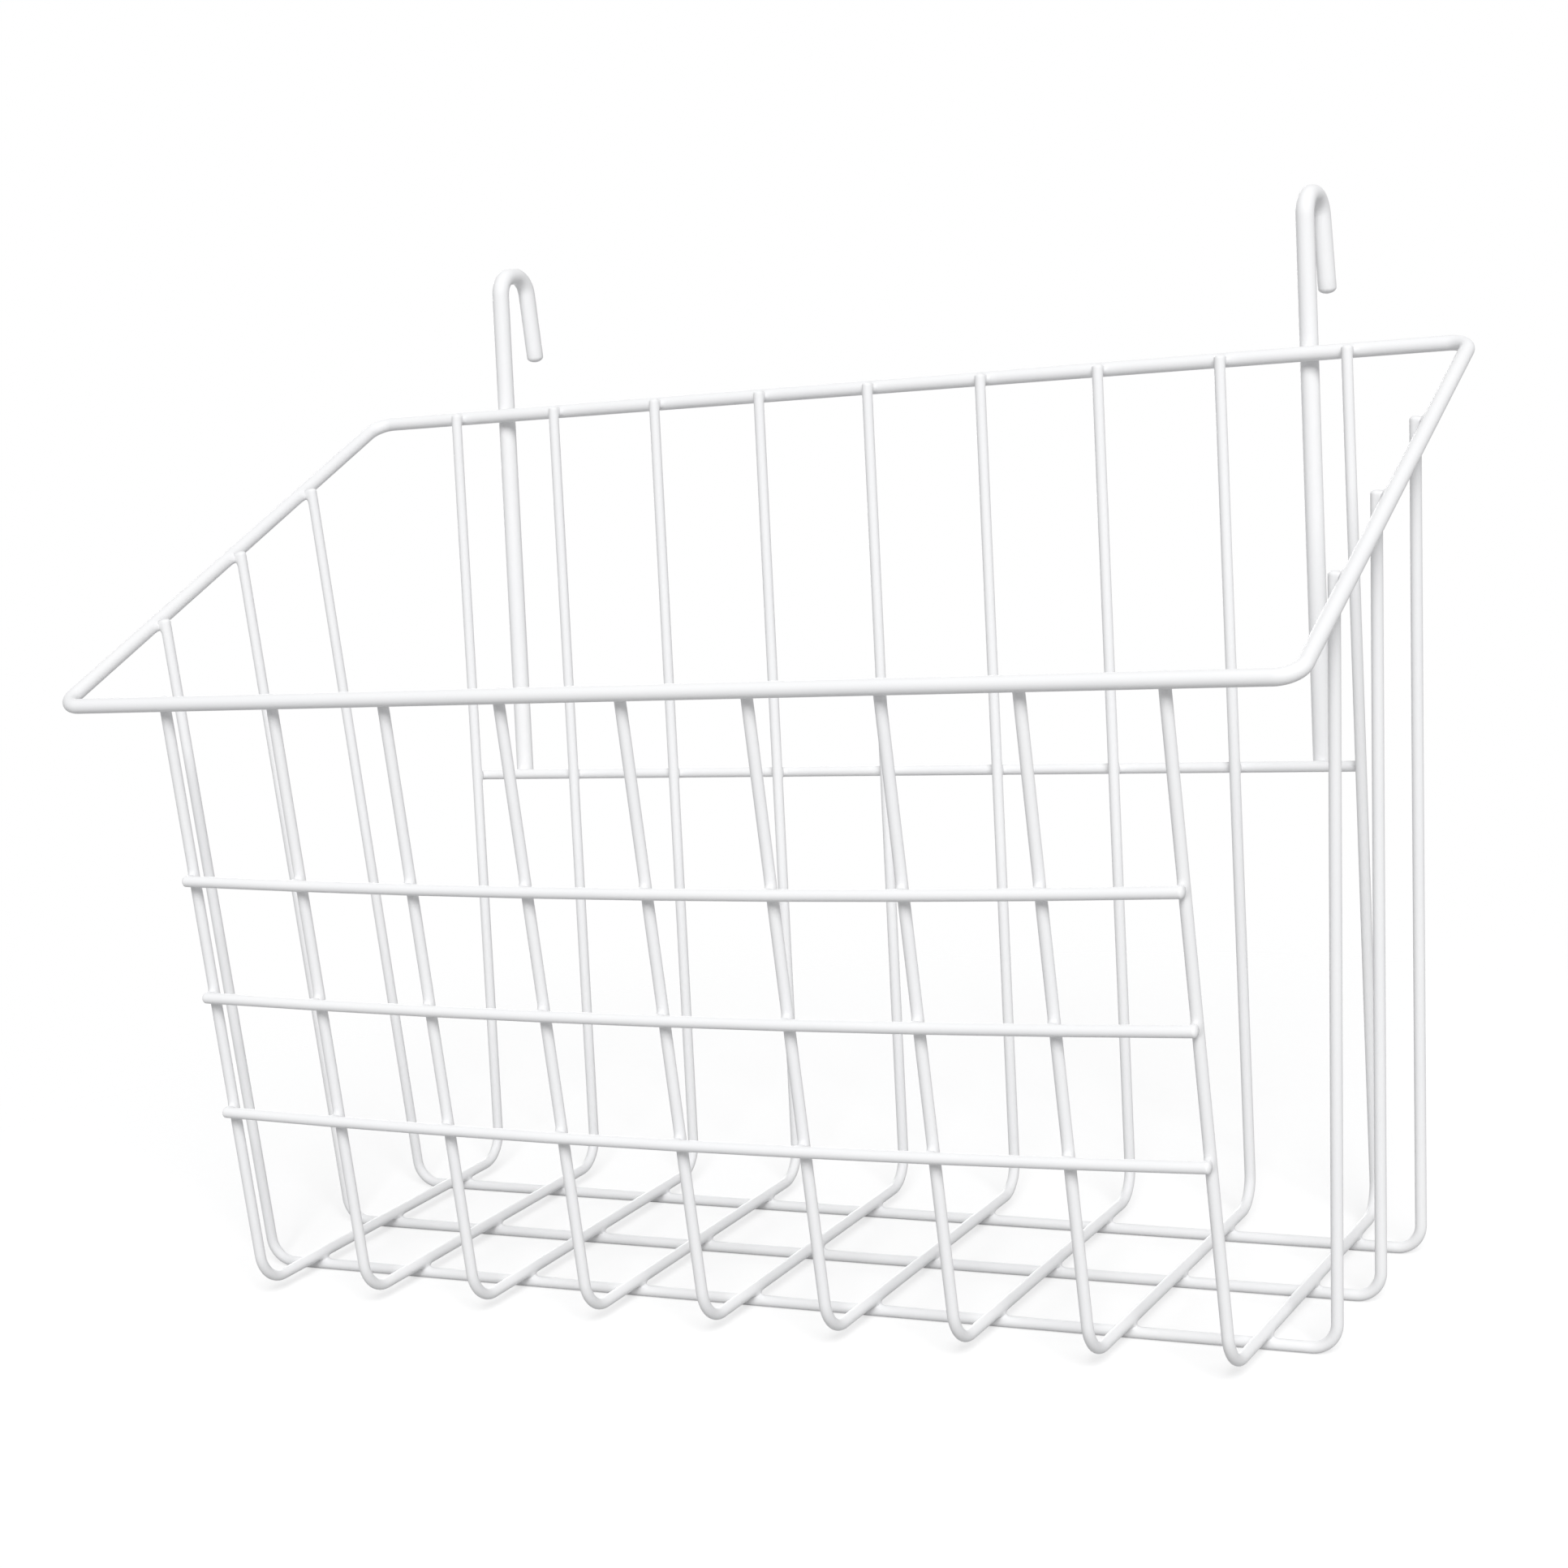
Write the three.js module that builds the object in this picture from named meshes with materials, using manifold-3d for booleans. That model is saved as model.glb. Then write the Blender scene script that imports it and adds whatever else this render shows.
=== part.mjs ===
// A hanging wire basket of coated steel wire: a sloping rim, nine wires bent front to back, three bent
// side to side, cross wires on the front and back, and two hooks behind the rim.
// Millimetres, +Z up, +X to the right seen from the front, -Y to the front. The origin is on the ground,
// under the middle of the floor's middle wire.

import * as THREE from "three";
import { mergeVertices } from "three/addons/utils/BufferGeometryUtils.js";
import Module from "manifold-3d";

// Wire diameters over the coating, and the gap kept where two wires are welded
const rimWire = 3.5;
const basketWire = 2.6;
const hookWire = 4.4;
const weldGap = 0.25;

// Rim, measured between wire centres, with its depth along the slope
const rimWidth = 300;
const rimDepth = 150;
const rimSlope = THREE.MathUtils.degToRad(21.5);
const rimCorner = 5;

// Basket: height from the floor wires' centres to the back of the rim, and how far each wall leans in
const backHeight = 199;
const backTaper = 18;
const frontTaper = 10;
const sideTaper = 9.5;

// Short wires, front to back
const shortWireCount = 9;
const footBend = 8;
const backBend = 8;
const wireEndRise = 1.2;

// Long wires, side to side, and the straight left beyond each outer crossing on the floor
const longBend = 6;
const sideSeat = 9;
const frontSeat = 15.5;
const rearSeat = 8.5;

// Cross wires, with heights above the ground
const frontCrossHeight = 49;
const frontCrossPitch = 28.5;
const frontCrossSag = 1.8;
const frontCrossOverhang = 1;
const backCrossHeight = 108;
const backCrossOverhang = 0.2;

// Hooks
const hookInset = 39;
const hookRise = 37;
const hookReach = 12.2;
const hookBend = 5.6;
const hookTip = 22;
const hookDome = 1.4;
const hookOpening = THREE.MathUtils.degToRad(9);
const hookTail = 1.6;

// Fineness of the round sections and of the bends
const wireSides = 12;
const thickWireSides = 16;
const bendStep = THREE.MathUtils.degToRad(12);

const coatingColour = 0xf2f2f4;
const coatingRoughness = 0.45;

// Vertices closer than this are one when a mesh becomes a solid
const sameVertex = 1e-4;

// Heights of the two layers of floor wires, and centre distances at the welds
const longWireZ = basketWire / 2;
const floorZ = longWireZ + basketWire + weldGap;
const crossingSeat = basketWire + weldGap;
const rimSeat = (rimWire + basketWire) / 2 + weldGap;
const hookRimSeat = (rimWire + hookWire) / 2 + weldGap;
const hookCrossSeat = (basketWire + hookWire) / 2 + weldGap;

const acrossX = new THREE.Vector3(1, 0, 0);
const acrossY = new THREE.Vector3(0, 1, 0);

// A point on the rim's centre plane, a distance down its slope from the back
function onRim(x, downSlope) {
  const forward = downSlope * Math.cos(rimSlope);
  const drop = downSlope * Math.sin(rimSlope);
  return new THREE.Vector3(x, -forward, floorZ + backHeight - drop);
}

const rimBack = onRim(0, 0);
const rimFront = onRim(0, rimDepth);

// Leg of the short wires at one end of the basket, in the plane of the wire. side is 1 at the back and -1
// at the front: the leg rises from the floor to the inner side of the rim and leans outwards.
function legOf(rimPoint, taper, side) {
  const lean = Math.atan2(taper, rimPoint.z - floorZ);
  const along = new THREE.Vector3(0, side * Math.sin(lean), Math.cos(lean));
  const outward = new THREE.Vector3(0, side * Math.cos(lean), -Math.sin(lean));
  const atRim = rimPoint.clone().addScaledVector(outward, -rimSeat);
  const floorCorner = atRim.clone().addScaledVector(along, (floorZ - atRim.z) / along.z);
  const top = atRim.clone().addScaledVector(along, wireEndRise);
  return { along, outward, floorCorner, top };
}

const frontLeg = legOf(rimFront, frontTaper, -1);
const backLeg = legOf(rimBack, backTaper, 1);

// Centre of a wire that crosses the outer side of a leg at a given height
function crossingAt(leg, height) {
  const onLeg = leg.floorCorner.clone().addScaledVector(leg.along, (height - floorZ) / leg.along.z);
  return onLeg.addScaledVector(leg.outward, crossingSeat);
}

// Half widths of the floor, and the places of the repeated wires
const legTopX = rimWidth / 2 - rimSeat;
const floorHalfWidth = legTopX - sideTaper;
const outerShortX = floorHalfWidth - longBend - sideSeat;
const shortPitch = (2 * outerShortX) / (shortWireCount - 1);
const shortWireX = Array.from({ length: shortWireCount }, (_, i) => i * shortPitch - outerShortX);
const frontLongY = frontLeg.floorCorner.y + footBend + frontSeat;
const rearLongY = backLeg.floorCorner.y - backBend - rearSeat;
const middleLongY = (frontLongY + rearLongY) / 2;

// Points round one bend of a wire, from the end of one straight to the start of the next
function bendPoints(before, corner, after, radius) {
  const into = corner.clone().sub(before).normalize();
  const out = after.clone().sub(corner).normalize();
  const turn = into.angleTo(out);
  const axis = into.clone().cross(out).normalize();
  const start = corner.clone().addScaledVector(into, -radius * Math.tan(turn / 2));
  const centre = start.clone().addScaledVector(axis.clone().cross(into), radius);
  const pieces = Math.ceil(turn / bendStep);
  return Array.from({ length: pieces + 1 }, (_, i) =>
    start.clone().sub(centre).applyAxisAngle(axis, (turn * i) / pieces).add(centre),
  );
}

// The centre line of a bent wire as a chain of straights: one step for each straight and each piece of a
// bend. sideways is the direction square to the plane in which the wire is bent.
class WirePath extends THREE.Curve {
  constructor(points, sideways, closed = false) {
    super();
    this.points = points;
    this.sideways = sideways;
    this.closed = closed;
  }

  getPoint(t, target = new THREE.Vector3()) {
    const last = this.closed ? this.points.length : this.points.length - 1;
    const place = Math.min(Math.max(t, 0), 1) * last;
    const from = Math.min(Math.floor(place), last - 1);
    const next = (from + 1) % this.points.length;
    return target.lerpVectors(this.points[from], this.points[next], place - from);
  }

  getPointAt(u, target) {
    return this.getPoint(u, target);
  }

  getSpacedPoints() {
    return this.points.map((point) => point.clone());
  }

  // Along the wire at its ends, and half-way between the two pieces that meet at any other point
  directionAt(i) {
    const count = this.points.length;
    const before = this.closed ? (i + count - 1) % count : Math.max(i - 1, 0);
    const after = this.closed ? (i + 1) % count : Math.min(i + 1, count - 1);
    const into = this.points[i].clone().sub(this.points[before]).normalize();
    const out = this.points[after].clone().sub(this.points[i]).normalize();
    return into.add(out).normalize();
  }

  computeFrenetFrames() {
    const tangents = this.points.map((_, i) => this.directionAt(i));
    const normals = tangents.map(() => this.sideways.clone());
    const binormals = tangents.map((tangent) => tangent.clone().cross(this.sideways).normalize());
    return { tangents, normals, binormals };
  }
}

// Round section with flats square to the wire's plane, so that crossing wires meet flat to flat
function sectionOf(diameter, sides) {
  const cornerRadius = diameter / 2 / Math.cos(Math.PI / sides);
  const corners = Array.from({ length: sides }, (_, i) => {
    const angle = ((i + 0.5) * 2 * Math.PI) / sides;
    return new THREE.Vector2(cornerRadius * Math.cos(angle), cornerRadius * Math.sin(angle));
  });
  return new THREE.Shape(corners);
}

function wireAlong(points, sideways, diameter, sides) {
  const extrudePath = new WirePath(points, sideways);
  return new THREE.ExtrudeGeometry(sectionOf(diameter, sides), { steps: points.length - 1, extrudePath });
}

// A wire bent once at each inner corner of its route
function bentWire(corners, radii, sideways, diameter, sides) {
  const bends = radii.map((radius, i) => bendPoints(corners[i], corners[i + 1], corners[i + 2], radius));
  const points = [corners[0], ...bends.flat(), corners[corners.length - 1]];
  return wireAlong(points, sideways, diameter, sides);
}

function rimGeometry() {
  const half = rimWidth / 2;
  const corners = [onRim(-half, 0), onRim(half, 0), onRim(half, rimDepth), onRim(-half, rimDepth)];
  const points = corners.flatMap((corner, i) => {
    const before = corners.at(i - 1);
    const after = corners[(i + 1) % corners.length];
    return bendPoints(before, corner, after, rimCorner);
  });
  const squareToRim = new THREE.Vector3(0, -Math.sin(rimSlope), Math.cos(rimSlope));
  const path = new WirePath(points, squareToRim, true);
  const cornerRadius = rimWire / 2 / Math.cos(Math.PI / thickWireSides);
  return new THREE.TubeGeometry(path, points.length, cornerRadius, thickWireSides, true);
}

function shortWireGeometry(x) {
  const corners = [frontLeg.top, frontLeg.floorCorner, backLeg.floorCorner, backLeg.top];
  const placed = corners.map((corner) => corner.clone().setX(x));
  return bentWire(placed, [footBend, backBend], acrossX, basketWire, wireSides);
}

function longWireGeometry(y) {
  const rimHeight = onRim(0, -y / Math.cos(rimSlope)).z;
  const lean = Math.atan2(sideTaper, rimHeight - longWireZ);
  const topX = legTopX + wireEndRise * Math.tan(lean);
  const topZ = rimHeight + wireEndRise;
  const corners = [
    new THREE.Vector3(-topX, y, topZ),
    new THREE.Vector3(-floorHalfWidth, y, longWireZ),
    new THREE.Vector3(floorHalfWidth, y, longWireZ),
    new THREE.Vector3(topX, y, topZ),
  ];
  return bentWire(corners, [longBend, longBend], acrossY, basketWire, wireSides);
}

// A front cross wire lies on the outside of the front legs and sags a little along them at its middle
function frontCrossGeometry(height) {
  const end = outerShortX + frontCrossOverhang;
  const stations = [-end, ...shortWireX, end];
  const level = crossingAt(frontLeg, height);
  const points = stations.map((x) => {
    const sag = frontCrossSag * (1 - (x / end) ** 2);
    return level.clone().setX(x).addScaledVector(frontLeg.along, -sag);
  });
  return wireAlong(points, frontLeg.outward, basketWire, wireSides);
}

function backCrossGeometry() {
  const end = outerShortX + backCrossOverhang;
  const level = crossingAt(backLeg, backCrossHeight);
  const points = [level.clone().setX(-end), level.clone().setX(end)];
  return wireAlong(points, backLeg.outward, basketWire, wireSides);
}

// Corners of a hook's route: it leans on the back of the rim and of the back cross wire, rises above the
// rim, runs level to the back over the rail and comes down again, opening away from itself.
function hookCorners(x) {
  const cross = crossingAt(backLeg, backCrossHeight);
  const up = rimBack.clone().sub(cross);
  const tilt = Math.asin((hookCrossSeat - hookRimSeat) / up.length());
  const backward = new THREE.Vector3(0, up.z, -up.y).normalize().applyAxisAngle(acrossX, tilt);
  const along = new THREE.Vector3(0, -backward.z, backward.y);
  const tail = cross.addScaledVector(backward, hookCrossSeat).addScaledVector(along, -hookTail);
  const shoulder = rimBack.clone().addScaledVector(backward, hookRimSeat).addScaledVector(along, hookRise);
  const turn = shoulder.clone().addScaledVector(acrossY, hookReach);
  const downward = along.negate().applyAxisAngle(acrossX, hookOpening);
  const tip = turn.clone().addScaledVector(downward, hookTip);
  return [tail, shoulder, turn, tip].map((corner) => corner.setX(x));
}

const wasm = await Module();
wasm.setup();

function toSolid(geometry) {
  const bare = geometry.clone();
  bare.deleteAttribute("normal");
  bare.deleteAttribute("uv");
  const merged = mergeVertices(bare, sameVertex);
  const vertProperties = new Float32Array(merged.attributes.position.array);
  const triVerts = new Uint32Array(merged.index.array);
  return new wasm.Manifold(new wasm.Mesh({ numProp: 3, vertProperties, triVerts }));
}

function toGeometry(solid) {
  const mesh = solid.getMesh();
  const geometry = new THREE.BufferGeometry();
  geometry.setAttribute("position", new THREE.BufferAttribute(mesh.vertProperties, 3));
  geometry.setIndex(new THREE.BufferAttribute(mesh.triVerts, 1));
  geometry.computeVertexNormals();
  return geometry;
}

// A hook ends in a low domed tip, so that it slides over a rail without catching
function hookGeometry(x) {
  const corners = hookCorners(x);
  const wire = bentWire(corners, [hookBend, hookBend], acrossX, hookWire, thickWireSides);
  const [turn, tip] = corners.slice(2);
  const tipAxis = tip.clone().sub(turn).normalize();
  const dome = new THREE.SphereGeometry(hookWire / 2, thickWireSides, thickWireSides / 2);
  dome.scale(1, hookDome / (hookWire / 2), 1);
  dome.applyQuaternion(new THREE.Quaternion().setFromUnitVectors(acrossY, tipAxis));
  dome.translate(tip.x, tip.y, tip.z);
  return toGeometry(toSolid(wire).add(toSolid(dome)));
}

const basket = new THREE.Group();
basket.position.y = -middleLongY;

function addPiece(name, geometry) {
  const coating = new THREE.MeshStandardMaterial({
    color: coatingColour,
    roughness: coatingRoughness,
    metalness: 0,
  });
  const piece = new THREE.Mesh(geometry, coating);
  piece.name = name;
  basket.add(piece);
}

addPiece("rim", rimGeometry());

shortWireX.forEach((x, i) => addPiece(`short_wire_${i + 1}`, shortWireGeometry(x)));

addPiece("long_wire_front", longWireGeometry(frontLongY));
addPiece("long_wire_middle", longWireGeometry(middleLongY));
addPiece("long_wire_rear", longWireGeometry(rearLongY));

["bottom", "middle", "top"].forEach((place, i) => {
  addPiece(`front_cross_wire_${place}`, frontCrossGeometry(frontCrossHeight + i * frontCrossPitch));
});
addPiece("back_cross_wire", backCrossGeometry());

const hookX = rimWidth / 2 - hookInset;
addPiece("hook_left", hookGeometry(-hookX));
addPiece("hook_right", hookGeometry(hookX));

export default basket;
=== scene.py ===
"""A hanging wire basket of white coated steel wire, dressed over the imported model.

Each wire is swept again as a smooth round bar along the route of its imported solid, with rounded cut ends.
Where two wires are welded, the coating runs together into a fillet.
"""
import math
import bpy
import numpy as np
from mathutils import Matrix, Vector


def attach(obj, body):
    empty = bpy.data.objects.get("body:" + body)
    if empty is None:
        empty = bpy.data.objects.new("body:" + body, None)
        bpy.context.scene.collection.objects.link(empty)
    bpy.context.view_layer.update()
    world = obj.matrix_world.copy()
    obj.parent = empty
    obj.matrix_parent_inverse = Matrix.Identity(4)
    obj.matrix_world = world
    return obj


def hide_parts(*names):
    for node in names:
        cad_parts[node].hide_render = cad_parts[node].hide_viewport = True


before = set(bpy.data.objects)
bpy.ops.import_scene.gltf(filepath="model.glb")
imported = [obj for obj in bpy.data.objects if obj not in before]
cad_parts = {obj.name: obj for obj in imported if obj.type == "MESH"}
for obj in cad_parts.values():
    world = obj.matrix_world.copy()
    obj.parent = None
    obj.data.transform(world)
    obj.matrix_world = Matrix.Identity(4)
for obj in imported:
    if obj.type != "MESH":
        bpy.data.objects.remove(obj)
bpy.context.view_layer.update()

MM = 0.001

# Wires over their coating, in millimetres like all sizes of the basket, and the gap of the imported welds
RIM_WIRE = 3.5
BASKET_WIRE = 2.6
HOOK_WIRE = 4.4
WELD_GAP = 0.25

# Rim: a rectangle with rounded corners, which slopes down to the front
RIM_WIDTH = 300
RIM_DEPTH = 150
RIM_SLOPE = math.radians(21.5)
RIM_CORNER = 5

# Walls: the rim's height above the floor at the back, and how far each wall leans in at the floor
BACK_HEIGHT = 199
BACK_TAPER = 18
FRONT_TAPER = 10
SIDE_TAPER = 9.5

# How far the ends of the wall wires stand past the rim's centre
WIRE_END_RISE = 1.2

# Short wires run from front to back, long wires from side to side below them
SHORT_WIRE_COUNT = 9
FOOT_BEND = 8
BACK_BEND = 8
LONG_BEND = 6

# Seats: how far past a bend the first wire that crosses is welded
SIDE_SEAT = 9
FRONT_SEAT = 15.5
REAR_SEAT = 8.5

# Cross wires, on the outside of the front legs and of the back legs
FRONT_CROSS_HEIGHT = 49
FRONT_CROSS_PITCH = 28.5
FRONT_CROSS_SAG = 1.8
FRONT_CROSS_OVERHANG = 1
BACK_CROSS_HEIGHT = 108
BACK_CROSS_OVERHANG = 0.2

# Hooks, behind the rim and the back cross wire
HOOK_INSET = 39
HOOK_RISE = 37
HOOK_REACH = 12.2
HOOK_BEND = 5.6
HOOK_TIP = 22
HOOK_DOME = 1.4
HOOK_TAIL = 1.6
HOOK_OPENING = math.radians(9)

# Fineness of the sweep: rings close together at the welds and bends, and far apart on the free straights
BEND_STEP = math.radians(4)
LEAST_TURN = BEND_STEP / 8
FINE_STEP = 0.4
FREE_STEP = 7
WIRE_SIDES = 24
THICK_WIRE_SIDES = 32

# Cut ends: a dome's height as a share of the wire's radius, and its rings from the tip to the foot
CUT_DOME_SHARE = 0.6
DOME_ANGLES = np.radians((82, 64, 46, 30, 15, 0))

# Fillets: their size, the sides and rings of a wire that they cover, and the steps that draw them out
FILLET = 1.8
FILLET_FACING = -0.93
FILLET_RING_SHARE = 0.4
FILLET_STEPS = 12
FILLET_STRIDE = 0.25

# Least values to divide by
LEAST_SLOPE = 0.25
LEAST_DISTANCE = 1e-6

# Seam of a fillet: over this width its two halves dip into each other by this depth
SEAM_WIDTH = 0.4
SEAM_DEPTH = 0.4

# Tones of the coating; a painted shade, a grey that stands for the shade in the crease where two wires are
# welded; and how far this shade and the rougher satin reach from a weld, in millimetres
FRESH_WHITE = (0.9, 0.9, 0.9, 1)
COOL_WHITE = (0.86, 0.863, 0.875, 1)
WELD_PAINTED_SHADE = (0.66, 0.66, 0.67, 1)
WELD_SHADE_SHARE = 0.5
WELD_SHADE_AND_ROUGHNESS_REACH = 2.4

# Satin of the coating
SATIN_ROUGHNESS = 0.48
DRIFT_ROUGHNESS = 0.08
WELD_ROUGHNESS = 0.12
SATIN_SPECULAR = 0.12

# Unevenness of the coating, as noise: its scale per metre, its detail, and its share of the relief
DRIFT_SCALE = 34
DRIFT_DETAIL = 2
PEEL_SCALE = 760
PEEL_DETAIL = 2
PEEL_SHARE = 0.25
SAG_SCALE = 150
SAG_DETAIL = 1
SAG_SHARE = 0.75
RELIEF_STRENGTH = 0.25
RELIEF_DEPTH = 0.2 * MM

# Camera, in metres; an azimuth of 0 is straight in front of the basket
CAMERA_PLACE = Vector((0.32103, -0.59647, 0.22526))
CAMERA_AZIMUTH = math.radians(28.123)
CAMERA_ELEVATION = math.radians(9.196)
CAMERA_ROLL = math.radians(-5.311)
CAMERA_LENS = 67.604
CAMERA_SENSOR = 36

# Soft boxes, in metres and watts
LIT_CENTRE = Vector((0, 0, 0.1))
SOFT_BOX_DISTANCE = 5
SOFT_BOX_SIZE = 2.3
FRONT_BOX_AZIMUTH = math.radians(33)
FRONT_BOX_ELEVATION = math.radians(38)
FRONT_BOX_POWER = 202
BACK_BOX_AZIMUTH = math.radians(215)
BACK_BOX_ELEVATION = math.radians(10)
BACK_BOX_POWER = 118

# Room and floor, in metres
WHITE = (1, 1, 1, 1)
ROOM_COLOUR = (0.985, 0.99, 1, 1)
ROOM_LIGHT = 0.40
ROOM_SEEN = 1
FLOOR_HALF = 0.6
FLOOR_FADE_START = 0.18
FLOOR_FADE_END = 0.42
FLOOR_COLOUR = (0.46, 0.46, 0.46, 1)
FLOOR_GLOW = 0.585

# Sockets of a Mix node that blends colours; their names are shared with its other sockets
MIX_FACTOR = 0
MIX_FIRST = 6
MIX_SECOND = 7
MIX_RESULT = 2

# Heights of the wires at the floor, and distances between the centres of wires that are welded together
LONG_WIRE_Z = BASKET_WIRE / 2
FLOOR_Z = LONG_WIRE_Z + BASKET_WIRE + WELD_GAP
CROSSING_SEAT = BASKET_WIRE + WELD_GAP
RIM_SEAT = (RIM_WIRE + BASKET_WIRE) / 2 + WELD_GAP
HOOK_RIM_SEAT = (RIM_WIRE + HOOK_WIRE) / 2 + WELD_GAP
HOOK_CROSS_SEAT = (BASKET_WIRE + HOOK_WIRE) / 2 + WELD_GAP

ACROSS_X = np.array((1.0, 0, 0))
ACROSS_Y = np.array((0, 1.0, 0))


def unit(vector):
    """A vector, or each row of an array of vectors, at length 1."""
    return vector / np.linalg.norm(vector, axis=-1, keepdims=True)


def turned(vector, axis, angle):
    """A vector turned about a unit axis."""
    return (vector * math.cos(angle) + np.cross(axis, vector) * math.sin(angle)
            + axis * np.dot(axis, vector) * (1 - math.cos(angle)))


def at_x(point, x):
    """A point moved sideways to a given x."""
    return np.array((x, point[1], point[2]))


def on_rim(x, down_slope):
    """A point on the rim's centre plane, a distance down its slope from the back."""
    forward = down_slope * math.cos(RIM_SLOPE)
    drop = down_slope * math.sin(RIM_SLOPE)
    return np.array((x, -forward, FLOOR_Z + BACK_HEIGHT - drop))


class Leg:
    """Leg of the short wires at the back (side 1) or front (side -1), from the floor to inside the rim."""

    def __init__(self, rim_point, taper, side):
        lean = math.atan2(taper, rim_point[2] - FLOOR_Z)
        self.along = np.array((0, side * math.sin(lean), math.cos(lean)))
        self.outward = np.array((0, side * math.cos(lean), -math.sin(lean)))
        at_rim = rim_point - self.outward * RIM_SEAT
        self.floor_corner = at_rim + self.along * (FLOOR_Z - at_rim[2]) / self.along[2]
        self.top = at_rim + self.along * WIRE_END_RISE

    def crossing_at(self, height):
        """Centre of a wire that crosses the leg's outer side at a height above the ground."""
        on_leg = self.floor_corner + self.along * (height - FLOOR_Z) / self.along[2]
        return on_leg + self.outward * CROSSING_SEAT


rim_back = on_rim(0, 0)
front_leg = Leg(on_rim(0, RIM_DEPTH), FRONT_TAPER, -1)
back_leg = Leg(rim_back, BACK_TAPER, 1)

# Places of the wires, measured from the rim's back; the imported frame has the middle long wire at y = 0
leg_top_x = RIM_WIDTH / 2 - RIM_SEAT
floor_half_width = leg_top_x - SIDE_TAPER
outer_short_x = floor_half_width - LONG_BEND - SIDE_SEAT
short_wire_x = np.linspace(-outer_short_x, outer_short_x, SHORT_WIRE_COUNT)
front_long_y = front_leg.floor_corner[1] + FOOT_BEND + FRONT_SEAT
rear_long_y = back_leg.floor_corner[1] - BACK_BEND - REAR_SEAT
middle_long_y = (front_long_y + rear_long_y) / 2
hook_x = RIM_WIDTH / 2 - HOOK_INSET
frame_shift = np.array((0, -middle_long_y, 0))


def bend(before, corner, after, radius):
    """Points round one bend, from the end of one straight to the start of the next."""
    into = unit(corner - before)
    out = unit(after - corner)
    turn = math.acos(np.clip(np.dot(into, out), -1, 1))
    axis = unit(np.cross(into, out))
    start = corner - into * radius * math.tan(turn / 2)
    centre = start + np.cross(axis, into) * radius
    pieces = math.ceil(turn / BEND_STEP)
    return [centre + turned(start - centre, axis, turn * i / pieces) for i in range(pieces + 1)]


def bent_route(corners, radii):
    """A route bent once at each inner corner."""
    bends = [bend(*corners[i:i + 3], radius) for i, radius in enumerate(radii)]
    return [corners[0], *(point for points in bends for point in points), corners[-1]]


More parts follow.
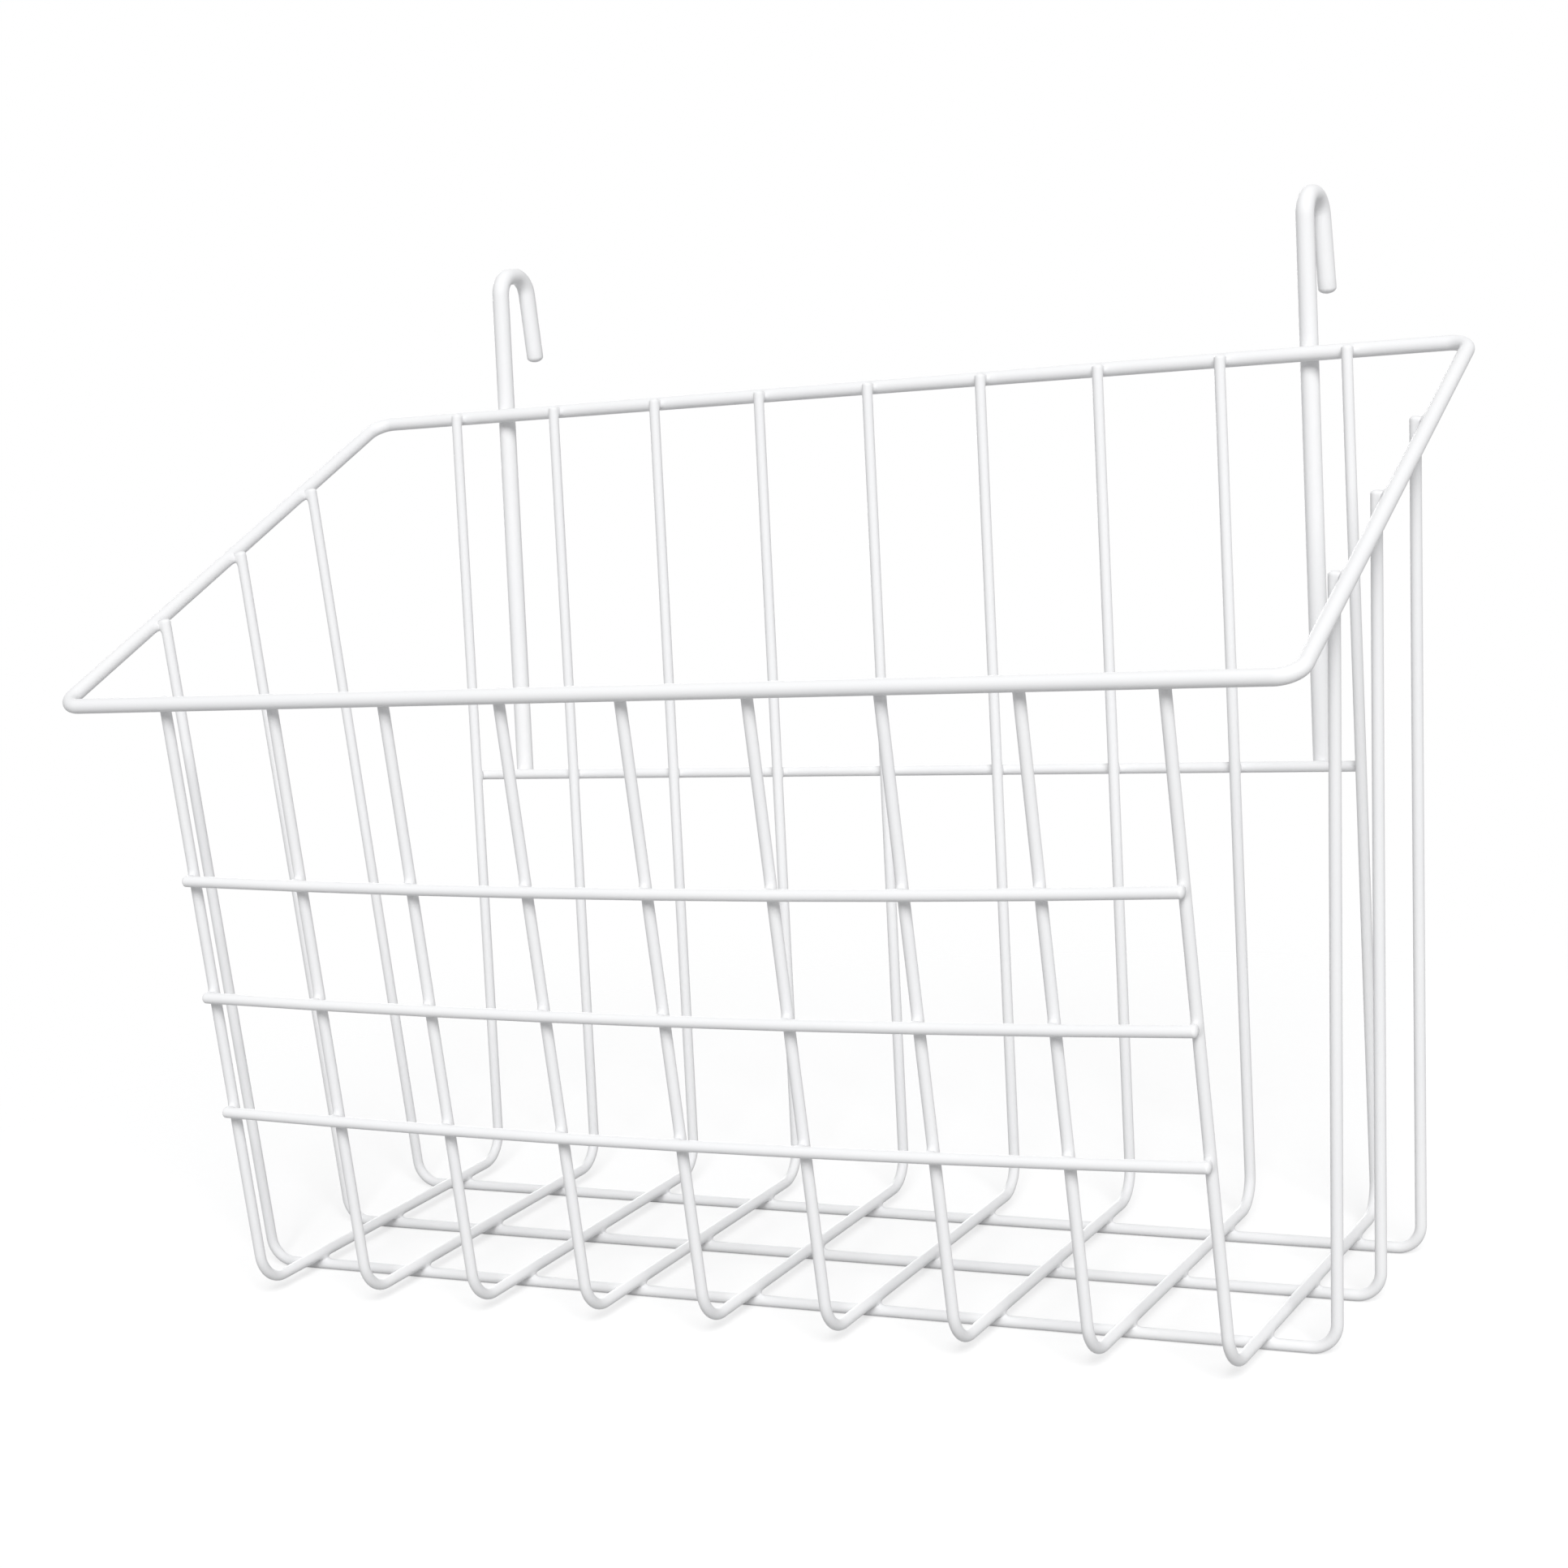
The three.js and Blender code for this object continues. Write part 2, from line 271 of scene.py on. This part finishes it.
class Wire:
    """One bent wire: its centre line, the direction square to its bends, and its size over the coating."""

    def __init__(self, node, route, sideways, diameter, sides, domes=None, closed=False):
        self.node = node
        self.sideways = sideways
        self.radius = diameter / 2
        self.sides = sides
        self.closed = closed
        self.domes = domes or (CUT_DOME_SHARE * self.radius,) * 2
        points = np.array(route) + frame_shift
        if closed:
            points = np.vstack((points, points[:1]))
        self.points = points
        self.core = points if closed else self.without_ends(points)
        self.low = points.min(0) - self.radius
        self.high = points.max(0) + self.radius
        self.fine = self.finely_divided()
        self.reach = np.r_[0, np.cumsum(np.linalg.norm(np.diff(self.fine, axis=0), axis=1))]
        self.directions = self.fine_directions()

    def without_ends(self, points):
        """The route short of both ends by a radius, so that a ball run along it just reaches the cuts."""
        core = points.copy()
        core[0] += unit(points[1] - points[0]) * self.radius
        core[-1] += unit(points[-2] - points[-1]) * self.radius
        return core

    def finely_divided(self):
        """The route with a point at every fine step."""
        stretches = []
        for start, end in zip(self.points, self.points[1:]):
            count = max(1, math.ceil(np.linalg.norm(end - start) / FINE_STEP))
            shares = np.arange(count)[:, None] / count
            stretches.append(start + (end - start) * shares)
        return np.vstack((*stretches, self.points[-1:]))

    def fine_directions(self):
        """The wire's direction at each fine point, halfway between the steps before and after it."""
        steps = unit(np.diff(self.fine, axis=0))
        if self.closed:
            return unit(np.vstack((steps, steps[:1])) + np.vstack((steps[-1:], steps)))
        return unit(np.vstack((steps, steps[-1:])) + np.vstack((steps[:1], steps)))

    def at(self, lengths, rows):
        """Values of fine rows, such as points, at lengths along the wire."""
        return np.stack([np.interp(lengths, self.reach, column) for column in rows.T], axis=1)

    def clearance(self, points):
        """Distance of points from the wire's surface, and the direction away from it."""
        start = self.core[:-1]
        step = np.diff(self.core, axis=0)
        share = ((points[:, None] - start) * step).sum(2) / (step * step).sum(1)
        nearest = start + np.clip(share, 0, 1)[..., None] * step
        distances = np.linalg.norm(points[:, None] - nearest, axis=2)
        best = distances.argmin(1)
        rows = np.arange(len(points))
        distance = distances[rows, best]
        away = points - nearest[rows, best]
        return distance - self.radius, away / np.maximum(distance, LEAST_DISTANCE)[:, None]

    def neighbours(self, wires):
        """The wires whose boxes come near enough for a weld."""
        margin = FILLET + WELD_GAP
        return [other for other in wires if other is not self
                and np.all(other.low < self.high + margin) and np.all(self.low < other.high + margin)]

    def ringed(self, near):
        """Marks the fine points that get a ring: all at welds and bends, and a few on free straights."""
        marked = np.zeros(len(self.fine), bool)
        for other in near:
            marked |= other.clearance(self.fine)[0] < self.radius + FILLET + WELD_GAP
        turning = np.r_[0, np.linalg.norm(np.diff(self.directions, axis=0), axis=1)] > LEAST_TURN
        marked |= turning | np.r_[turning[1:], False]
        last = 0
        for i, length in enumerate(self.reach):
            if marked[i]:
                last = length
            elif length - last >= FREE_STEP:
                marked[i] = True
                last = length
        return marked

    def stations(self, near):
        """Lengths along the wire at which a ring is set, with each ring's share of the full radius."""
        marked = self.ringed(near)
        if self.closed:
            marked[0] = True
            marked[-1] = False
            lengths = self.reach[marked]
            return lengths, np.ones(len(lengths))
        total = self.reach[-1]
        start, end = self.domes
        past_domes = (self.reach > start + FINE_STEP / 2) & (self.reach < total - end - FINE_STEP / 2)
        inner = self.reach[marked & past_domes]
        from_tip = 1 - np.sin(DOME_ANGLES)
        lengths = np.r_[start * from_tip, inner, (total - end * from_tip)[::-1]]
        shares = np.r_[np.cos(DOME_ANGLES), np.ones(len(inner)), np.cos(DOME_ANGLES)[::-1]]
        return lengths, shares

    def surface(self, wires):
        """Points of the swept and filleted surface, its faces, and how near to a weld each point is."""
        near = self.neighbours(wires)
        lengths, shares = self.stations(near)
        centres = self.at(lengths, self.fine)
        along = unit(self.at(lengths, self.directions))
        upright = unit(np.cross(along, self.sideways))
        level = np.cross(upright, along)
        angles = np.arange(self.sides) * 2 * math.pi / self.sides
        radial = np.cos(angles)[:, None] * level[:, None] + np.sin(angles)[:, None] * upright[:, None]
        radii = self.radius * shares
        points = (centres[:, None] + radial * radii[:, None, None]).reshape(-1, 3)
        rings = [np.repeat(rows, self.sides, axis=0) for rows in (centres, along, radii)]
        weld = np.zeros(len(points))
        for other in near:
            self.draw_fillet(points, radial.reshape(-1, 3), rings, weld, other)
        return self.closed_up(points, weld, len(lengths))

    def draw_fillet(self, points, radial, rings, weld, other):
        """Moves the points beside a weld out to the surface on which both coatings run together."""
        centres, along, radii = rings
        gap, away = other.clearance(points)
        # Nearness to a weld: it greys the coating as painted shade in the crease between the wires, and
        # makes the satin rougher
        weld[:] = np.maximum(weld, np.clip(1 - gap / WELD_SHADE_AND_ROUGHNESS_REACH, 0, 1))
        # Points that squarely face the other wire stay hidden in the weld, and a dome's tip stays as it is
        facing = (radial * away).sum(1)
        moved = (gap < FILLET) & (facing > FILLET_FACING) & (radii > FILLET_RING_SHARE * self.radius)
        place, centre, axis, radius = points[moved], centres[moved], along[moved], radii[moved]
        for _ in range(FILLET_STEPS):
            out = place - centre
            out -= (out * axis).sum(1)[:, None] * axis
            length = np.linalg.norm(out, axis=1)
            own_gap = length - radius
            own_away = out / length[:, None]
            gap, away = other.clearance(place)
            # Smooth union of both wires: the lesser gap, made smaller where the two are nearly the same
            closeness = np.clip(FILLET - np.abs(own_gap - gap), 0, None) / FILLET
            own_share = np.where(own_gap <= gap, 1 - closeness / 2, closeness / 2)[:, None]
            depth = np.minimum(own_gap, gap) - closeness ** 2 * FILLET / 4
            slope = own_share * own_away + (1 - own_share) * away
            stride = depth / np.maximum((slope * slope).sum(1), LEAST_SLOPE)
            place = place - np.clip(stride, -FILLET_STRIDE, FILLET_STRIDE)[:, None] * slope
        # The edge of each half dips towards the other wire, so that no crack shows between the halves
        seam = np.clip(1 - (gap - own_gap) / SEAM_WIDTH, 0, 1)
        points[moved] = place - away * (SEAM_DEPTH * seam)[:, None]

    def closed_up(self, points, weld, ring_count):
        """Adds the faces between the rings and, on an open wire, the two tips."""
        sides = self.sides
        index = np.arange(ring_count * sides).reshape(ring_count, sides)
        beside = np.roll(index, -1, axis=1)
        if self.closed:
            after = np.roll(index, -1, axis=0)
            beside_after = np.roll(beside, -1, axis=0)
            quads = np.stack((index, beside, beside_after, after), axis=2).reshape(-1, 4)
            return points, quads.tolist(), weld
        quads = np.stack((index[:-1], beside[:-1], beside[1:], index[1:]), axis=2).reshape(-1, 4)
        first = len(points)
        last = first + 1
        tips = [(first, b, a) for a, b in zip(index[0].tolist(), beside[0].tolist())]
        tips += [(a, b, last) for a, b in zip(index[-1].tolist(), beside[-1].tolist())]
        ends = np.stack((self.fine[0], self.fine[-1]))
        weld = np.r_[weld, weld[:sides].mean(), weld[-sides:].mean()]
        return np.vstack((points, ends)), quads.tolist() + tips, weld


def rim_wire():
    """The thick closed loop round the mouth."""
    half = RIM_WIDTH / 2
    corners = [on_rim(-half, 0), on_rim(half, 0), on_rim(half, RIM_DEPTH), on_rim(-half, RIM_DEPTH)]
    route = []
    for i, corner in enumerate(corners):
        route += bend(corners[i - 1], corner, corners[(i + 1) % len(corners)], RIM_CORNER)
    square_to_rim = np.array((0, -math.sin(RIM_SLOPE), math.cos(RIM_SLOPE)))
    return Wire("rim", route, square_to_rim, RIM_WIRE, THICK_WIRE_SIDES, closed=True)


def short_wire(number, x):
    """A U from front to back: front leg, floor run and back leg."""
    corners = [front_leg.top, front_leg.floor_corner, back_leg.floor_corner, back_leg.top]
    route = bent_route([at_x(corner, x) for corner in corners], (FOOT_BEND, BACK_BEND))
    return Wire(f"short_wire_{number}", route, ACROSS_X, BASKET_WIRE, WIRE_SIDES)


def long_wire(place, y):
    """A U from side to side, below the short wires."""
    rim_height = on_rim(0, -y / math.cos(RIM_SLOPE))[2]
    lean = math.atan2(SIDE_TAPER, rim_height - LONG_WIRE_Z)
    top_x = leg_top_x + WIRE_END_RISE * math.tan(lean)
    top_z = rim_height + WIRE_END_RISE
    corners = np.array([
        (-top_x, y, top_z),
        (-floor_half_width, y, LONG_WIRE_Z),
        (floor_half_width, y, LONG_WIRE_Z),
        (top_x, y, top_z),
    ])
    route = bent_route(list(corners), (LONG_BEND, LONG_BEND))
    return Wire(f"long_wire_{place}", route, ACROSS_Y, BASKET_WIRE, WIRE_SIDES)


def front_cross_wire(place, height):
    """A wire on the outside of the front legs, which sags a little along them at its middle."""
    end = outer_short_x + FRONT_CROSS_OVERHANG
    level = front_leg.crossing_at(height)
    route = []
    for x in (-end, *short_wire_x, end):
        sag = FRONT_CROSS_SAG * (1 - (x / end) ** 2)
        route.append(at_x(level - front_leg.along * sag, x))
    return Wire(f"front_cross_wire_{place}", route, front_leg.outward, BASKET_WIRE, WIRE_SIDES)


def back_cross_wire():
    """A straight wire on the outside of the back legs."""
    end = outer_short_x + BACK_CROSS_OVERHANG
    level = back_leg.crossing_at(BACK_CROSS_HEIGHT)
    route = [at_x(level, -end), at_x(level, end)]
    return Wire("back_cross_wire", route, back_leg.outward, BASKET_WIRE, WIRE_SIDES)


def hook_wire(side, x):
    """A hook leans on the back of the rim and of the back cross wire, then bends backwards and down."""
    cross = back_leg.crossing_at(BACK_CROSS_HEIGHT)
    up = rim_back - cross
    tilt = math.asin((HOOK_CROSS_SEAT - HOOK_RIM_SEAT) / np.linalg.norm(up))
    backward = turned(unit(np.array((0, up[2], -up[1]))), ACROSS_X, tilt)
    along = np.array((0, -backward[2], backward[1]))
    tail = cross + backward * HOOK_CROSS_SEAT - along * HOOK_TAIL
    shoulder = rim_back + backward * HOOK_RIM_SEAT + along * HOOK_RISE
    turn = shoulder + ACROSS_Y * HOOK_REACH
    downward = turned(-along, ACROSS_X, HOOK_OPENING)
    tip = turn + downward * (HOOK_TIP + HOOK_DOME)
    route = bent_route([at_x(corner, x) for corner in (tail, shoulder, turn, tip)], (HOOK_BEND, HOOK_BEND))
    domes = (CUT_DOME_SHARE * HOOK_WIRE / 2, HOOK_DOME)
    return Wire(f"hook_{side}", route, ACROSS_X, HOOK_WIRE, THICK_WIRE_SIDES, domes)


def all_wires():
    """Every wire of the basket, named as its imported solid."""
    wires = [rim_wire()]
    for i, x in enumerate(short_wire_x):
        wires.append(short_wire(i + 1, x))
    for place, y in (("front", front_long_y), ("middle", middle_long_y), ("rear", rear_long_y)):
        wires.append(long_wire(place, y))
    for i, place in enumerate(("bottom", "middle", "top")):
        wires.append(front_cross_wire(place, FRONT_CROSS_HEIGHT + i * FRONT_CROSS_PITCH))
    wires.append(back_cross_wire())
    for side, x in (("left", -hook_x), ("right", hook_x)):
        wires.append(hook_wire(side, x))
    return wires


class Value:
    """A node's output. Arithmetic on it adds Math nodes."""

    def __init__(self, nodes, socket):
        self.nodes = nodes
        self.socket = socket

    def calculate(self, operation, first, second):
        return self.nodes.add("ShaderNodeMath", {"operation": operation}, {0: first, 1: second})

    def __add__(self, other):
        return self.calculate("ADD", self, other)

    def __radd__(self, other):
        return self.calculate("ADD", other, self)

    def __mul__(self, other):
        return self.calculate("MULTIPLY", self, other)

    def __rmul__(self, other):
        return self.calculate("MULTIPLY", other, self)

    def at_least(self, other):
        return self.calculate("MAXIMUM", self, other)


class Nodes:
    """The node tree of a material or of the world."""

    def __init__(self, owner):
        owner.use_nodes = True
        self.tree = owner.node_tree
        self.tree.nodes.clear()

    def add(self, kind, settings=None, inputs=None, output=0):
        """Adds a node with its settings, sets or links its inputs, and returns one of its outputs."""
        node = self.tree.nodes.new(kind)
        for name, value in (settings or {}).items():
            setattr(node, name, value)
        for name, value in (inputs or {}).items():
            if isinstance(value, Value):
                self.tree.links.new(value.socket, node.inputs[name])
            else:
                node.inputs[name].default_value = value
        return Value(self, node.outputs[output]) if len(node.outputs) else node


def white_coating():
    """Satin white coating: faint cool drifts, a fine orange peel, soft sags, painted shade that greys it
    towards the welds, and rougher welds.
    """
    material = bpy.data.materials.new("white_coating")
    nodes = Nodes(material)
    place = nodes.add("ShaderNodeTexCoord", output="Object")
    weld = nodes.add("ShaderNodeAttribute", {"attribute_name": "weld"}, output="Fac")

    def noise(scale, detail):
        return nodes.add("ShaderNodeTexNoise", inputs={"Vector": place, "Scale": scale, "Detail": detail})

    def blend(factor, first, second):
        colours = {MIX_FACTOR: factor, MIX_FIRST: first, MIX_SECOND: second}
        return nodes.add("ShaderNodeMix", {"data_type": "RGBA"}, colours, output=MIX_RESULT)

    drift = noise(DRIFT_SCALE, DRIFT_DETAIL)
    peel = noise(PEEL_SCALE, PEEL_DETAIL)
    sags = noise(SAG_SCALE, SAG_DETAIL)
    white = blend(drift, FRESH_WHITE, COOL_WHITE)
    # Painted shade: the white greys towards each weld, where the crease between the wires lies in shade
    colour = blend(weld * weld * WELD_SHADE_SHARE, white, WELD_PAINTED_SHADE)
    roughness = SATIN_ROUGHNESS + drift * DRIFT_ROUGHNESS + weld * WELD_ROUGHNESS
    relief = nodes.add("ShaderNodeBump", inputs={
        "Strength": RELIEF_STRENGTH,
        "Distance": RELIEF_DEPTH,
        "Height": peel * PEEL_SHARE + sags * SAG_SHARE,
    })
    shader = nodes.add("ShaderNodeBsdfPrincipled", inputs={
        "Base Color": colour,
        "Roughness": roughness,
        "Normal": relief,
        "Specular IOR Level": SATIN_SPECULAR,
    })
    nodes.add("ShaderNodeOutputMaterial", inputs={"Surface": shader})
    return material


def dress(wire, wires, material):
    """Makes a wire's visible piece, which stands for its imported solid."""
    points, faces, weld = wire.surface(wires)
    mesh = bpy.data.meshes.new(f"{wire.node}_coated")
    mesh.from_pydata((points * MM).tolist(), [], faces)
    mesh.shade_smooth()
    # The weld attribute holds the nearness to a weld, which the coating turns into painted shade and
    # rougher satin
    mesh.attributes.new("weld", "FLOAT", "POINT").data.foreach_set("value", weld)
    mesh.materials.append(material)
    piece = bpy.data.objects.new(mesh.name, mesh)
    bpy.context.scene.collection.objects.link(piece)
    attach(piece, "root")
    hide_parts(wire.node)


def seen_directly(nodes):
    """1 where the camera, a reflection or a glass looks, and 0 where light only bounces."""
    camera, glossy, glass = (nodes.add("ShaderNodeLightPath", output=f"Is {kind} Ray")
                             for kind in ("Camera", "Glossy", "Transmission"))
    return camera.at_least(glossy).at_least(glass)


def pale_floor():
    """White, with the basket's shadow, fading into the background all round."""
    material = bpy.data.materials.new("pale_floor")
    nodes = Nodes(material)
    place = nodes.add("ShaderNodeTexCoord", output="Object")
    away = nodes.add("ShaderNodeVectorMath", {"operation": "LENGTH"}, {0: place}, output="Value")
    fade = nodes.add("ShaderNodeMapRange", {"interpolation_type": "SMOOTHSTEP"}, {
        "Value": away,
        "From Min": FLOOR_FADE_START,
        "From Max": FLOOR_FADE_END,
        "To Min": 0,
        "To Max": 1,
    })
    shaded = nodes.add("ShaderNodeBsdfDiffuse", inputs={"Color": FLOOR_COLOUR})
    glow = nodes.add("ShaderNodeEmission", inputs={"Color": WHITE, "Strength": FLOOR_GLOW})
    white = nodes.add("ShaderNodeAddShader", inputs={0: shaded, 1: glow})
    clear = nodes.add("ShaderNodeBsdfTransparent")
    seen = nodes.add("ShaderNodeMixShader", inputs={0: seen_directly(nodes), 1: shaded, 2: white})
    surface = nodes.add("ShaderNodeMixShader", inputs={0: fade, 1: seen, 2: clear})
    nodes.add("ShaderNodeOutputMaterial", inputs={"Surface": surface})
    return material


def add_floor():
    """The ground of the picture, which is no piece of the basket."""
    half = FLOOR_HALF
    mesh = bpy.data.meshes.new("floor")
    corners = [(-half, -half, 0), (half, -half, 0), (half, half, 0), (-half, half, 0)]
    mesh.from_pydata(corners, [], [(0, 1, 2, 3)])
    mesh.materials.append(pale_floor())
    floor = bpy.data.objects.new("floor", mesh)
    bpy.context.scene.collection.objects.link(floor)


def add_room():
    """White where it is seen directly, and a soft even light on everything else."""
    room = bpy.data.worlds.new("room")
    bpy.context.scene.world = room
    nodes = Nodes(room)
    soft = nodes.add("ShaderNodeBackground", inputs={"Color": ROOM_COLOUR, "Strength": ROOM_LIGHT})
    white = nodes.add("ShaderNodeBackground", inputs={"Color": WHITE, "Strength": ROOM_SEEN})
    surface = nodes.add("ShaderNodeMixShader", inputs={0: seen_directly(nodes), 1: soft, 2: white})
    nodes.add("ShaderNodeOutputWorld", inputs={"Surface": surface})


def direction(azimuth, elevation):
    """From the basket towards a place round it."""
    return Vector((
        math.sin(azimuth) * math.cos(elevation),
        -math.cos(azimuth) * math.cos(elevation),
        math.sin(elevation),
    ))


def add_soft_box(name, azimuth, elevation, power):
    """A square lamp that faces the basket."""
    away = direction(azimuth, elevation)
    lamp = bpy.data.lights.new(name, "AREA")
    lamp.shape = "SQUARE"
    lamp.size = SOFT_BOX_SIZE
    lamp.energy = power
    soft_box = bpy.data.objects.new(name, lamp)
    soft_box.location = LIT_CENTRE + away * SOFT_BOX_DISTANCE
    soft_box.rotation_euler = (-away).to_track_quat("-Z", "Y").to_euler()
    soft_box.visible_camera = False
    bpy.context.scene.collection.objects.link(soft_box)


def add_camera():
    """The view of the photograph."""
    forward = -direction(CAMERA_AZIMUTH, CAMERA_ELEVATION)
    level_right = Vector((math.cos(CAMERA_AZIMUTH), math.sin(CAMERA_AZIMUTH), 0))
    right = Matrix.Rotation(-CAMERA_ROLL, 3, forward) @ level_right
    up = right.cross(forward)
    camera = bpy.data.objects.new("camera", bpy.data.cameras.new("camera"))
    camera.data.lens = CAMERA_LENS
    camera.data.sensor_width = CAMERA_SENSOR
    camera.matrix_world = Matrix((right, up, -forward)).transposed().to_4x4()
    camera.location = CAMERA_PLACE
    bpy.context.scene.collection.objects.link(camera)
    bpy.context.scene.camera = camera


wires = all_wires()
coating = white_coating()
for wire in wires:
    dress(wire, wires, coating)

add_floor()
add_room()
add_soft_box("front_soft_box", FRONT_BOX_AZIMUTH, FRONT_BOX_ELEVATION, FRONT_BOX_POWER)
add_soft_box("back_soft_box", BACK_BOX_AZIMUTH, BACK_BOX_ELEVATION, BACK_BOX_POWER)
add_camera()
bpy.context.scene.view_settings.view_transform = "Standard"
